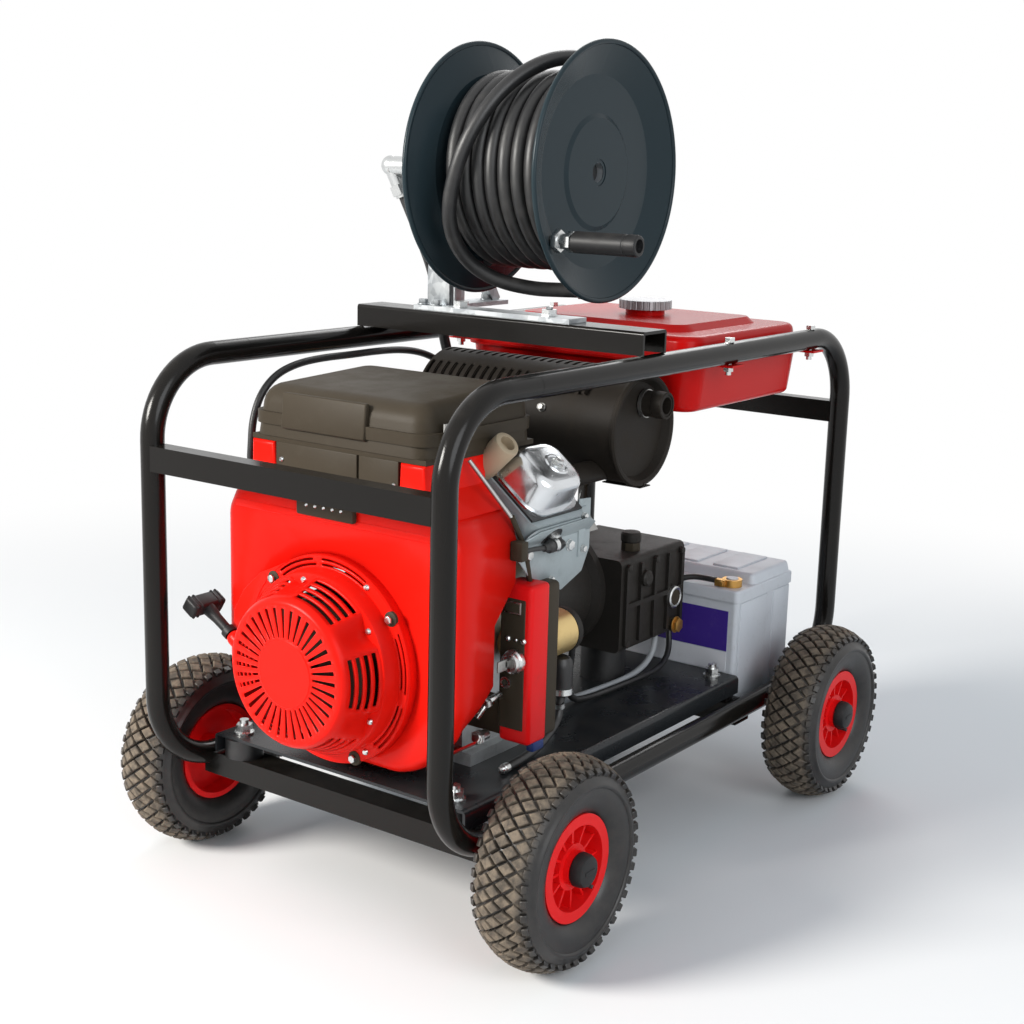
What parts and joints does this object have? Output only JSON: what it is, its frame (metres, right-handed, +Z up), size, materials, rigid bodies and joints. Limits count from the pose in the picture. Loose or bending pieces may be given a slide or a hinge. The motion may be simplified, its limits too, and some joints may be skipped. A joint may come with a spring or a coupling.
{
  "type": "gas pressure washer",
  "caption": "Wheeled tube-frame gas pressure washer with a V-twin engine, plunger pump, battery, fuel tank and a hand-cranked hose reel on top.",
  "frame": {"origin": "on the floor under the middle of the frame", "axes": "-Y is the hand-starter end, +X the key-switch side, +Z up"},
  "size_m": [0.6812, 1.008, 1.0857],
  "materials": {
    "black_paint": "gloss black",
    "red_paint": "gloss red",
    "slate_paint": "gloss slate blue",
    "black_heat_paint": "matt black",
    "galvanised": "galvanised",
    "bright_steel": "zinc plated",
    "cast_aluminium": "as cast",
    "black_cast": "black enamel",
    "gold_steel": "yellow zinc",
    "brass": "dull",
    "steel": "machined",
    "black_plastic": "fine grain",
    "black_rubber": "matt",
    "tread_rubber": "dusty",
    "grey_plastic": "satin",
    "pale_paper": "pleated",
    "red_plastic": "gloss red"
  },
  "bodies": {
    "chassis": {"side_loop_right": "black_paint", "side_loop_left": "black_paint", "cross_members": "black_paint", "engine_tray": "black_paint", "rubber_mounts": "black_rubber", "fasteners": "bright_steel", "battery_shelf": "black_paint", "axles": "black_paint", "reel_channel": "black_paint", "reel_stand": "galvanised", "swivel_elbow": "bright_steel", "feed_hose": "black_rubber", "fuel_tank": "red_paint", "fuel_hose": "black_rubber", "muffler": "black_heat_paint", "muffler_guard": "black_heat_paint", "exhaust_pipes": "steel", "crankcase": "cast_aluminium", "cylinders": "cast_aluminium", "valve_covers": "cast_aluminium", "fan_shroud": "red_paint", "recoil_cover": "red_paint", "air_cleaner_case": "black_plastic", "air_cleaner_cover": "black_plastic", "filter_element": "pale_paper", "carburettor": "cast_aluminium", "control_box": "red_plastic", "starter_motor": "gold_steel", "drain_hose": "black_rubber", "plug_leads": "black_rubber", "pump_bell": "black_cast", "pump_case": "black_cast", "pump_head": "brass", "pump_fittings": "black_plastic", "battery": "grey_plastic", "battery_cables": "black_rubber"},
    "reel": {"reel_spool": "slate_paint", "hose_inner_layers": "black_rubber", "hose_coil": "black_rubber", "hose_connector": "bright_steel", "crank_pin": "bright_steel"},
    "crank_grip": {"crank_grip": "black_plastic"},
    "fuel_cap": {"fuel_cap": "galvanised"},
    "ignition_key": {"ignition_key": "steel"},
    "recoil_pulley": {"recoil_pulley": "black_plastic"},
    "recoil_handle": {"recoil_handle": "black_rubber", "recoil_rope": "black_rubber"},
    "crankshaft": {"crankshaft": "steel", "flywheel_fan": "black_plastic"},
    "throttle_lever": {"throttle_lever": "steel"},
    "pressure_knob": {"pressure_knob": "black_plastic"},
    "cover_clip": {"cover_clip": "steel"},
    "wheel_front_right": {"tyre_front_right": "tread_rubber", "rim_front_right": "red_plastic"},
    "wheel_front_left": {"tyre_front_left": "tread_rubber", "rim_front_left": "red_plastic"},
    "wheel_rear_right": {"tyre_rear_right": "tread_rubber", "rim_rear_right": "red_plastic"},
    "wheel_rear_left": {"tyre_rear_left": "tread_rubber", "rim_rear_left": "red_plastic"}
  },
  "joints": [
    {"name": "wheel_front_right_spin", "type": "hinge", "parent": "chassis", "child": "wheel_front_right", "pos_m": [0.296, -0.347, 0.13], "axis": [1, 0, 0], "continuous": true},
    {"name": "wheel_front_left_spin", "type": "hinge", "parent": "chassis", "child": "wheel_front_left", "pos_m": [-0.296, -0.347, 0.13], "axis": [1, 0, 0], "continuous": true},
    {"name": "wheel_rear_right_spin", "type": "hinge", "parent": "chassis", "child": "wheel_rear_right", "pos_m": [0.296, 0.354, 0.13], "axis": [1, 0, 0], "continuous": true},
    {"name": "wheel_rear_left_spin", "type": "hinge", "parent": "chassis", "child": "wheel_rear_left", "pos_m": [-0.296, 0.354, 0.13], "axis": [1, 0, 0], "continuous": true},
    {"name": "reel_turn", "type": "hinge", "parent": "chassis", "child": "reel", "pos_m": [0, -0.05, 0.9207], "axis": [1, 0, 0], "continuous": true},
    {"name": "crank_grip_turn", "type": "hinge", "parent": "reel", "child": "crank_grip", "pos_m": [0.2, -0.1556, 0.8382], "axis": [1, 0, 0], "continuous": true},
    {"name": "fuel_cap_turn", "type": "hinge", "parent": "chassis", "child": "fuel_cap", "pos_m": [0.02, 0.248, 0.728], "axis": [0, 0, 1], "range_deg": [0, 120]},
    {"name": "key_turn", "type": "hinge", "parent": "chassis", "child": "ignition_key", "pos_m": [0.1895, -0.3, 0.342], "axis": [0, 1, 0], "range_deg": [0, 75]},
    {"name": "recoil_pulley_turn", "type": "hinge", "parent": "chassis", "child": "recoil_pulley", "pos_m": [0, -0.438, 0.335], "axis": [0, 1, 0], "range_deg": [0, 335]},
    {"name": "recoil_pull", "type": "slide", "parent": "chassis", "child": "recoil_handle", "axis": [-0.8453, 0, 0.5344], "range_m": [0, 0.45]},
    {"name": "crankshaft_turn", "type": "hinge", "parent": "chassis", "child": "crankshaft", "pos_m": [0, -0.2, 0.335], "axis": [0, 1, 0], "continuous": true},
    {"name": "throttle_turn", "type": "hinge", "parent": "chassis", "child": "throttle_lever", "pos_m": [0, -0.204, 0.5184], "axis": [0, 1, 0], "range_deg": [0, 35]},
    {"name": "pressure_knob_turn", "type": "hinge", "parent": "chassis", "child": "pressure_knob", "pos_m": [-0.09, 0.092, 0.43], "axis": [0, 0, 1], "range_deg": [0, 720]},
    {"name": "cover_clip_turn", "type": "hinge", "parent": "chassis", "child": "cover_clip", "pos_m": [0.1456, -0.372, 0.5938], "axis": [0, 1, 0], "range_deg": [0, 80]}
  ],
  "couplings": [
    {"joint": "recoil_pull", "follows": "recoil_pulley_turn", "m_per_rad": 0.076964}
  ]
}
